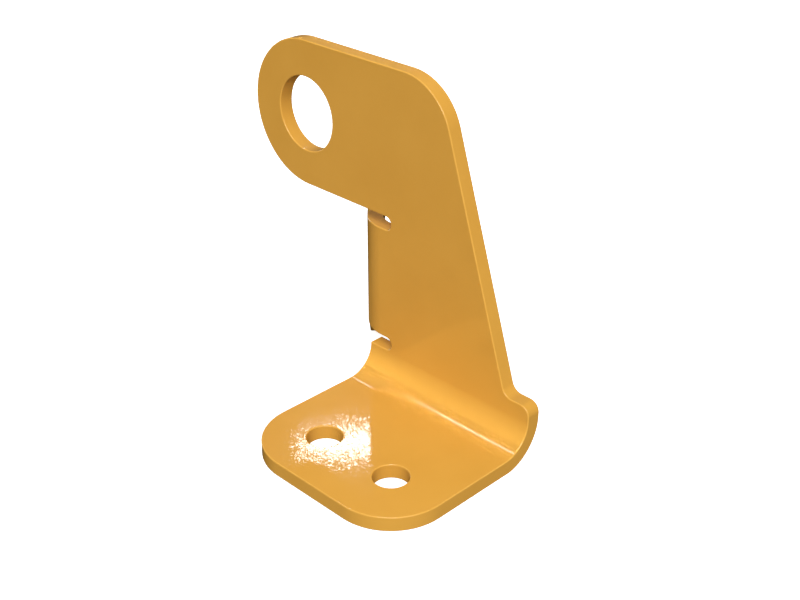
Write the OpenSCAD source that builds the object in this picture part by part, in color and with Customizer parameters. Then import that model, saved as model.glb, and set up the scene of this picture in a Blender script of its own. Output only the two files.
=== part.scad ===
// Oil cooler bracket: one sheet of steel, cut to an outline and bent twice, with a round eye
// at the end of its arm. The foot is bolted down, and a leg behind it stands on the same plane.
// X runs along the foot's bend, the foot reaches towards -Y and the leg runs back, Z is up.
// The origin is midway between the two bolt holes, on the foot's underside.

/* [Sheet] */
// Thickness of the sheet
sheet_t = 5; // [3:0.5:6]
// Inside radius of both bends
bend_r = 10; // [6:0.5:12]

/* [Foot] */
// Width of the foot, along its bend
foot_w = 70; // [60:1:90]
// Reach of the foot in front of the upright
foot_reach = 60; // [50:1:90]
// Radius of the foot's two free corners
foot_corner_r = 20; // [5:1:25]
// Diameter of the bolt holes
bolt_hole_d = 12; // [6:0.5:14]
// Distance between the bolt holes
bolt_spacing = 30; // [20:1:36]
// Distance from the foot's front edge to the bolt holes
bolt_edge = 20; // [12:1:26]

/* [Upright] */
// Height of the upright's top edge above the foot's underside
top_z = 115; // [100:1:150]
// Height of the step on the upright's right side, above the bend
step_h = 5; // [5:0.5:15]
// Width of the step
step_w = 10; // [9:0.5:18]
// Radius of the step's outer corner
step_corner_r = 3.5; // [1:0.5:4]
// Radius in the step's inner corner
step_fillet_r = 4; // [1:0.5:4.5]
// How far the slanted side leans in, from the step to the top edge
lean = 30; // [10:1:40]
// Radius of the corner between the slanted side and the top edge
top_corner_r = 20; // [5:1:25]

/* [Arm] */
// Distance from the foot's left side to the centre of the eye
arm_reach = 30; // [20:1:60]
// Width of the arm, which is also the diameter of its round end
arm_w = 50; // [40:1:56]
// Diameter of the eye
eye_d = 26; // [10:0.5:34]

/* [Relief slots] */
// Width of the slots above and below the leg's bend
relief_w = 5; // [3:0.5:6]
// How far the slots run past the line where the leg's bend starts
relief_past = 5; // [3:0.5:8]

/* [Leg] */
// Angle that the leg is bent back from the upright
leg_angle = 45; // [20:1:60]
// Distance from the foot's left side to the line where the leg's bend starts
leg_inset = 5; // [3:0.5:10]
// Length of the leg's flat part
leg_len = 60; // [50:1:75]
// Length over which the leg's lower edge slants down to the toe
slant_len = 25.5; // [22:0.5:30]
// Radius of the corner between the slanted edge and the toe
toe_corner_r = 20; // [5:1:25]
// Radius of the leg's free top corner
leg_corner_r = 20; // [5:1:25]

/* [Hidden] */
$fn = 96;
paint = "#D6973B";
// Cuts run this far past what they cut, and pieces this far into what they join
over = 1;
outer_r = bend_r + sheet_t;
// The flat upright starts where the foot's bend ends
flat_z = outer_r;
arm_low_z = top_z - arm_w;
leg_low_z = flat_z + relief_w;
leg_top_z = arm_low_z - relief_w;
eye_z = top_z - arm_w / 2;
step_z = flat_z + step_h;
step_x = foot_w - step_w;
// Distance from the upright's front face to the line of the bolt holes
bolt_line = foot_reach - bolt_edge;
relief_end_x = leg_inset + relief_past;

// An arc runs over its tangent lines by this much, so that it always meets them
hair = 0.0005;

function xy(corner) = [corner[0], corner[1]];
function unit(v) = v / norm(v);
function half_angle(a, v, b) = acos(unit(a - v) * unit(b - v)) / 2;
// How far a round corner reaches along its two sides, and where its centre lies
function reach(a, v, b, r) = r / tan(half_angle(a, v, b));
function centre(a, v, b, r) = v + unit(unit(a - v) + unit(b - v)) * r / sin(half_angle(a, v, b));
function is_convex(a, v, b) = cross(v - a, b - v) > 0;

// What lies between the sharp corner v and its round: it is cut off a corner that stands out,
// and fills one that goes in. It runs on past the two sides that it touches.
module corner_piece(a, v, b, r) {
    c = centre(a, v, b, r);
    past = 1.05;
    translate(c) difference() {
        polygon([
            [0, 0],
            (v + unit(a - v) * reach(a, v, b, r) - c) * past,
            (v - c) * past,
            (v + unit(b - v) * reach(a, v, b, r) - c) * past
        ]);
        circle(r = r + hair);
    }
}

// A flat shape with straight sides and true round corners. Each corner is [x, y, radius],
// and the corners run anticlockwise.
module blank(corners) {
    n = len(corners);
    points = [for (c = corners) xy(c)];
    module rounds(convex) {
        for (i = [0 : n - 1]) {
            a = points[(i + n - 1) % n];
            v = points[i];
            b = points[(i + 1) % n];
            if (corners[i][2] > 0 && is_convex(a, v, b) == convex) corner_piece(a, v, b, corners[i][2]);
        }
    }
    difference() {
        polygon(points);
        rounds(true);
    }
    rounds(false);
}

// A sheet that stands on edge: its front face lies at y = 0 and its outline is drawn in X and Z
module standing_sheet() {
    translate([0, sheet_t, 0]) rotate([90, 0, 0]) linear_extrude(sheet_t) children();
}

// The foot, with its two bolt holes
module foot() {
    linear_extrude(sheet_t) difference() {
        blank([
            [0, -bend_r, 0],
            [0, -foot_reach, foot_corner_r],
            [foot_w, -foot_reach, foot_corner_r],
            [foot_w, -bend_r, 0]
        ]);
        for (side = [-1, 1])
            translate([(foot_w + side * bolt_spacing) / 2, -bolt_line]) circle(d = bolt_hole_d);
    }
}

// The quarter bend between the foot and the upright
module foot_bend() {
    translate([0, -bend_r, outer_r]) rotate([0, 90, 0])
        rotate_extrude(angle = 90) translate([bend_r, 0]) square([sheet_t, foot_w]);
}

// A slot with a round end, open to the left
module relief_slot(low_z) {
    end_r = relief_w / 2;
    translate([relief_end_x - end_r, low_z + end_r]) circle(r = end_r);
    translate([-1, low_z]) square([relief_end_x - end_r + 1, relief_w]);
}

// The upright and its arm, with the eye
module upright() {
    standing_sheet() difference() {
        union() {
            blank([
                [0, flat_z, 0],
                [foot_w, flat_z, 0],
                [foot_w, step_z, step_corner_r],
                [step_x, step_z, step_fillet_r],
                [step_x - lean, top_z, top_corner_r],
                [-arm_reach, top_z, 0],
                [-arm_reach, arm_low_z, 0],
                [leg_inset, arm_low_z, 0],
                [leg_inset, flat_z + relief_w / 2, 0],
                [0, flat_z + relief_w / 2, 0]
            ]);
            translate([-arm_reach, eye_z]) circle(d = arm_w);
        }
        translate([-arm_reach, eye_z]) circle(d = eye_d);
        relief_slot(flat_z);
        relief_slot(leg_top_z);
    }
}

// The leg's bend and its flat part, seen from above. It starts inside the upright.
module leg_plan() {
    bend_axis = [leg_inset, outer_r];
    along = [-cos(leg_angle), sin(leg_angle)];
    outward = [-sin(leg_angle), -cos(leg_angle)];
    corner = tan(leg_angle / 2);
    blank([
        [leg_inset + over, 0, 0],
        [leg_inset + over, sheet_t, 0],
        [leg_inset - bend_r * corner, sheet_t, bend_r],
        concat(bend_axis + outward * bend_r + along * leg_len, 0),
        concat(bend_axis + outward * outer_r + along * leg_len, 0),
        [leg_inset - outer_r * corner, 0, outer_r]
    ]);
}

// A cut square through the leg's flat part: its outline is drawn in the leg's own plane, with
// X = 0 at the end of the bend
module leg_cut() {
    translate([leg_inset, outer_r, 0]) rotate([0, 0, -leg_angle])
        rotate([90, 0, 0]) linear_extrude(outer_r + over) children();
}

// The leg: full height at its bend, and below that a part that slants down to the toe, on
// which the bracket stands
module leg() {
    slope = leg_low_z / slant_len;
    difference() {
        union() {
            translate([0, 0, leg_low_z]) linear_extrude(leg_top_z - leg_low_z) leg_plan();
            difference() {
                linear_extrude(leg_low_z + over) leg_plan();
                leg_cut() polygon([
                    [-slant_len - over / slope, -over],
                    [outer_r + over, -over],
                    [outer_r + over, leg_low_z + slope * (outer_r + over)]
                ]);
            }
        }
        leg_cut() corner_piece([-leg_len, 0], [-leg_len, leg_top_z], [0, leg_top_z], leg_corner_r);
        leg_cut() corner_piece([-leg_len, 0], [-slant_len, 0], [0, leg_low_z], toe_corner_r);
    }
}

module bracket() {
    color(paint) translate([-foot_w / 2, bolt_line, 0]) {
        foot();
        foot_bend();
        upright();
        leg();
    }
}

bracket();
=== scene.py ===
"""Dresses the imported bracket: soft edges, enamel paint, a pale floor, studio light and a camera."""

import math

import bmesh
import bpy
from mathutils import Matrix, Vector


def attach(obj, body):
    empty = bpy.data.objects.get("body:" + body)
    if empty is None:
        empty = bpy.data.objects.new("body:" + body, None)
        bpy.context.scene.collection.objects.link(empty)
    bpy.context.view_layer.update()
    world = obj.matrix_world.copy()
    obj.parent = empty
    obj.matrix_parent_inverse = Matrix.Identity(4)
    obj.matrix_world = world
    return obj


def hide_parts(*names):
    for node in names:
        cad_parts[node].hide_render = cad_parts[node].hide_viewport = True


MM = 0.001
WHITE = (1, 1, 1, 1)

# Copy of a node: corners closer than this are one, and faces that meet flatter than this are one
MERGE_DISTANCE = 0.0005 * MM
FLAT_ANGLE = math.radians(0.05)

# Sheet edges: the cut edges are broken by a light deburring, and the paint runs over them
EDGE_RADIUS = 0.4 * MM
EDGE_STEPS = 4
SHARP_ANGLE = math.radians(35)
PAINT_FILM = 0.15 * MM

# Camera: where it stands, in metres, and the direction from the bracket to it
CAMERA_PLACE = (0.23525, -0.21693, 0.23396)
CAMERA_BACK = (0.62054, -0.62206, 0.47747)
LENS_MM = 56.44
SENSOR_MM = 36.0

# Enamel: its colour where the coat lies thick and thin, and a lighter colour on the rounds, partly
# thin paint and partly a painted highlight along the edges.
# Each noise pattern below has a size and a number of finer layers.
ENAMEL_THICK = (0.735, 0.370, 0.057)
ENAMEL_THIN = (0.765, 0.392, 0.063)
ENAMEL_EDGE_PAINT_AND_HIGHLIGHT = (0.85, 0.46, 0.085)
CLOUDS = (22 * MM, 3)
EDGE_PATCHES = (3 * MM, 2)
# How far the rounds turn to the lighter colour, for thin paint and a painted edge highlight
EDGE_THIN_PAINT_AND_HIGHLIGHT = (0.45, 0.9)

# Enamel: gloss of the paint below and of the top coat
SATIN = (7 * MM, 2)
SATIN_ROUGHNESS = (0.33, 0.41)
PAINT_SPECULAR = 0.08
COAT_WEIGHT = 0.8
COAT_ROUGHNESS = 0.05

# Enamel: orange peel in both layers, and fine flakes in the top coat alone. Each flake is tilted a
# little: it has a random colour, and what that lies off the middle grey turns the flake.
PEEL = (2.2 * MM, 1)
PEEL_HEIGHT = 0.004 * MM
FLAKE_SIZE = 0.45 * MM
FLAKE_TILT = 0.013
MIDDLE_GREY = 0.5

# Most of a noise pattern's values lie in this range
NOISE_RANGE = (0.3, 0.7)

# Where a Mix node keeps its two colours and its result
MIX_COLORS = (6, 7)
MIX_RESULT = 2

# Soft studio lamps: azimuth and elevation in degrees, strength, the angle in degrees that each one
# spans, and whether the paint mirrors it
LAMPS = {
    "key": (315, 40, 1.42, 30, True),
    "front": (300, 50, 0.96, 30, True),
    "right": (345, 35, 0.56, 30, True),
    "rear": (135, 30, 0.13, 90, True),
    "rear_fill": (135, 30, 0.35, 90, False),
    "left": (180, 0, 0.45, 20, True),
}
ROOM_LIGHT = 0.32

# Panel lamps: what each one is aimed at, azimuth and elevation in degrees, distance, shape, width,
# height, brightness, and the angle in degrees that its beam spans. The strips light the bend, the
# arm's top edge and the leg's bend. The other two are mirrored in the top coat: one on the foot,
# and one as a thin line along the bend.
PANELS = {
    "bend_strip": ((0, 0.036, 0.009), 270, 45, 0.5, "RECTANGLE", 0.080, 0.010, 0.86, 2),
    "top_strip": ((-0.043, 0.0425, 0.115), 270, 90, 0.5, "RECTANGLE", 0.060, 0.010, 0.72, 2),
    "leg_strip": ((-0.038, 0.043, 0.030), 160, 4, 0.5, "RECTANGLE", 0.012, 0.026, 2.6, 2),
    "foot_panel": ((-0.010, 0.010, 0.005), 138.1, 35.2, 1.5, "ELLIPSE", 0.152, 0.036, 62, 180),
    "line_panel": ((0.023, 0.034, 0.006), 182.5, 57.2, 1.5, "ELLIPSE", 0.062, 0.230, 62, 180),
}

# The floor is a white light table: it glows by itself, so that no shadow lies on it
FLOOR_WHITE = 0.9
FLOOR_GLOW = 0.8
FLOOR_HALF = 6.0

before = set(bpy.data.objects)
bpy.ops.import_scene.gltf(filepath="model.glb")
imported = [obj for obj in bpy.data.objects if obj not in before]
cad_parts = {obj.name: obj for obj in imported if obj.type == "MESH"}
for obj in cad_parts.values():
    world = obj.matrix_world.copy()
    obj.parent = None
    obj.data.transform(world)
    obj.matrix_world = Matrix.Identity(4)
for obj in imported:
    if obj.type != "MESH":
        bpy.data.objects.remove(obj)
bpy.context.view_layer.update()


def add_object(name, data):
    """A new object in the scene."""
    obj = bpy.data.objects.new(name, data)
    bpy.context.scene.collection.objects.link(obj)
    return obj


def merged_copy(node, name):
    """A copy of a CAD node as one closed skin, with its flat faces whole again."""
    bm = bmesh.new()
    bm.from_mesh(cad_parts[node].data)
    bmesh.ops.remove_doubles(bm, verts=bm.verts, dist=MERGE_DISTANCE)
    bmesh.ops.dissolve_limit(bm, angle_limit=FLAT_ANGLE, verts=bm.verts, edges=bm.edges,
                             use_dissolve_boundaries=False)
    mesh = bpy.data.meshes.new(name)
    bm.to_mesh(mesh)
    bm.free()
    return add_object(name, mesh)


def soften_edges(piece, film, radius, steps):
    """Lays the paint's film on the sheet and rounds its sharp edges. The foot stays on the floor."""
    bm = bmesh.new()
    bm.from_mesh(piece.data)
    bm.normal_update()
    swell = [(vert, vert.normal * vert.calc_shell_factor() * film) for vert in bm.verts]
    for vert, step in swell:
        vert.co += step
        vert.co.z = max(vert.co.z, 0.0)
    bm.normal_update()
    sharp = [edge for edge in bm.edges if edge.is_manifold and edge.calc_face_angle() > SHARP_ANGLE]
    rounds = bmesh.ops.bevel(bm, geom=sharp, offset=radius, offset_type="OFFSET", affect="EDGES",
                             segments=steps, profile=0.5, material=-1, clamp_overlap=False)["faces"]
    on_round = set(rounds)
    # Marks the rounds, whose colour is made lighter: thin paint and a painted edge highlight
    light_round = bm.verts.layers.float.new("thin_paint_and_highlight")
    for vert in bm.verts:
        vert[light_round] = float(all(face in on_round for face in vert.link_faces))
    for face in bm.faces:
        face.smooth = True
    bm.to_mesh(piece.data)
    bm.free()
    # The flat faces keep their own normals, so that only the rounds are shaded round
    even = piece.modifiers.new("even_shading", "WEIGHTED_NORMAL")
    even.mode = "FACE_AREA"
    even.keep_sharp = False


def set_sockets(node, values):
    """Sets a node's own sockets, by their names."""
    for name, value in values.items():
        node.inputs[name].default_value = value


def enamel_paint():
    """Yellow-orange gloss enamel over steel."""
    mat = bpy.data.materials.new("enamel_paint")
    mat.use_nodes = True
    nodes, links = mat.node_tree.nodes, mat.node_tree.links
    shader = nodes["Principled BSDF"]
    where = nodes.new("ShaderNodeTexCoord").outputs["Object"]

    def noise(size, layers):
        tex = nodes.new("ShaderNodeTexNoise")
        set_sockets(tex, {"Scale": 1 / size, "Detail": layers})
        links.new(where, tex.inputs["Vector"])
        return tex.outputs[0]

    def spread(value, low, high):
        """Stretches a noise value from low to high."""
        span = nodes.new("ShaderNodeMapRange")
        set_sockets(span, {"From Min": NOISE_RANGE[0], "From Max": NOISE_RANGE[1],
                           "To Min": low, "To Max": high})
        links.new(value, span.inputs["Value"])
        return span.outputs["Result"]

    def blend(share, first, second):
        mix = nodes.new("ShaderNodeMix")
        mix.data_type = "RGBA"
        links.new(share, mix.inputs["Factor"])
        for color, place in zip((first, second), MIX_COLORS):
            if isinstance(color, tuple):
                mix.inputs[place].default_value = (*color, 1)
            else:
                links.new(color, mix.inputs[place])
        return mix.outputs[MIX_RESULT]

    def bump(height_map, height):
        relief = nodes.new("ShaderNodeBump")
        relief.inputs["Distance"].default_value = height
        links.new(height_map, relief.inputs["Height"])
        return relief.outputs["Normal"]

    def vector_math(operation, first, second=None):
        step = nodes.new("ShaderNodeVectorMath")
        step.operation = operation
        links.new(first, step.inputs[0])
        if isinstance(second, float):
            step.inputs[1].default_value = (second, second, second)
        elif second:
            links.new(second, step.inputs[1])
        return step.outputs["Vector"]

    def flakes(normal):
        """Tilts the normal by a different small amount on each flake."""
        cells = nodes.new("ShaderNodeTexVoronoi")
        set_sockets(cells, {"Scale": 1 / FLAKE_SIZE})
        links.new(where, cells.inputs["Vector"])
        tilt = vector_math("SUBTRACT", cells.outputs["Color"], MIDDLE_GREY)
        tilt = vector_math("MULTIPLY", tilt, FLAKE_TILT)
        return vector_math("NORMALIZE", vector_math("ADD", normal, tilt))

    def thin_paint_and_highlight_on_rounds():
        """How far the colour turns lighter: not at all on the faces, and in patches on the rounds,
        for thin paint and a painted edge highlight.
        """
        rounds = nodes.new("ShaderNodeAttribute")
        rounds.attribute_name = "thin_paint_and_highlight"
        lightening = nodes.new("ShaderNodeMath")
        lightening.operation = "MULTIPLY"
        links.new(rounds.outputs["Fac"], lightening.inputs[0])
        links.new(spread(noise(*EDGE_PATCHES), *EDGE_THIN_PAINT_AND_HIGHLIGHT), lightening.inputs[1])
        return lightening.outputs[0]

    face_color = blend(spread(noise(*CLOUDS), 0, 1), ENAMEL_THICK, ENAMEL_THIN)
    # The rounds get the lighter colour: thin paint and a painted edge highlight
    links.new(blend(thin_paint_and_highlight_on_rounds(), face_color, ENAMEL_EDGE_PAINT_AND_HIGHLIGHT), shader.inputs["Base Color"])
    links.new(spread(noise(*SATIN), *SATIN_ROUGHNESS), shader.inputs["Roughness"])
    peel = bump(noise(*PEEL), PEEL_HEIGHT)
    links.new(peel, shader.inputs["Normal"])
    links.new(flakes(peel), shader.inputs["Coat Normal"])
    set_sockets(shader, {"Specular IOR Level": PAINT_SPECULAR, "Coat Weight": COAT_WEIGHT,
                         "Coat Roughness": COAT_ROUGHNESS})
    return mat


bracket = merged_copy("bracket", "folded_bracket")
soften_edges(bracket, PAINT_FILM, EDGE_RADIUS, EDGE_STEPS)
bracket.data.materials.append(enamel_paint())
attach(bracket, "root")
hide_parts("bracket")


def direction(azimuth, elevation):
    """Unit vector from the bracket towards a lamp."""
    a, e = math.radians(azimuth), math.radians(elevation)
    return Vector((math.cos(e) * math.cos(a), math.cos(e) * math.sin(a), math.sin(e)))


def aim(lamp, towards):
    """Turns a lamp, so that it shines from this direction."""
    lamp.rotation_euler = towards.to_track_quat("Z", "Y").to_euler()


for lamp_name, (azimuth, elevation, strength, span, mirrored) in LAMPS.items():
    sun = bpy.data.lights.new(lamp_name, "SUN")
    sun.energy = strength
    sun.angle = math.radians(span)
    lamp = add_object(lamp_name, sun)
    aim(lamp, direction(azimuth, elevation))
    lamp.visible_glossy = mirrored

for lamp_name, spec in PANELS.items():
    target, azimuth, elevation, distance, shape, width, height, brightness, beam = spec
    panel = bpy.data.lights.new(lamp_name, "AREA")
    panel.shape = shape
    panel.size, panel.size_y = width, height
    panel.spread = math.radians(beam)
    panel.energy = brightness * width * height
    lamp = add_object(lamp_name, panel)
    towards = direction(azimuth, elevation)
    aim(lamp, towards)
    lamp.location = Vector(target) + towards * distance
    lamp.visible_camera = False

world = bpy.data.worlds.new("studio")
bpy.context.scene.world = world
world.use_nodes = True
set_sockets(world.node_tree.nodes["Background"], {"Color": WHITE, "Strength": ROOM_LIGHT})
world.cycles_visibility.glossy = False

floor_bm = bmesh.new()
bmesh.ops.create_grid(floor_bm, x_segments=1, y_segments=1, size=FLOOR_HALF)
floor_mesh = bpy.data.meshes.new("floor")
floor_bm.to_mesh(floor_mesh)
floor_bm.free()
floor = add_object("floor", floor_mesh)
floor_mat = bpy.data.materials.new("pale_floor")
floor_mat.use_nodes = True
set_sockets(floor_mat.node_tree.nodes["Principled BSDF"], {
    "Base Color": (FLOOR_WHITE, FLOOR_WHITE, FLOOR_WHITE, 1),
    "Roughness": 1.0,
    "Specular IOR Level": 0.0,
    "Emission Color": WHITE,
    "Emission Strength": FLOOR_GLOW,
})
floor.data.materials.append(floor_mat)
floor.visible_diffuse = False
floor.visible_glossy = False

# Camera
back = Vector(CAMERA_BACK).normalized()
right = Vector((0, 0, 1)).cross(back).normalized()
up = back.cross(right)
cam_data = bpy.data.cameras.new("camera")
cam_data.lens = LENS_MM
cam_data.sensor_width = SENSOR_MM
camera = add_object("camera", cam_data)
turn = Matrix((right, up, back)).transposed().to_4x4()
camera.matrix_world = Matrix.Translation(CAMERA_PLACE) @ turn
bpy.context.scene.camera = camera
bpy.context.scene.view_settings.view_transform = "Standard"
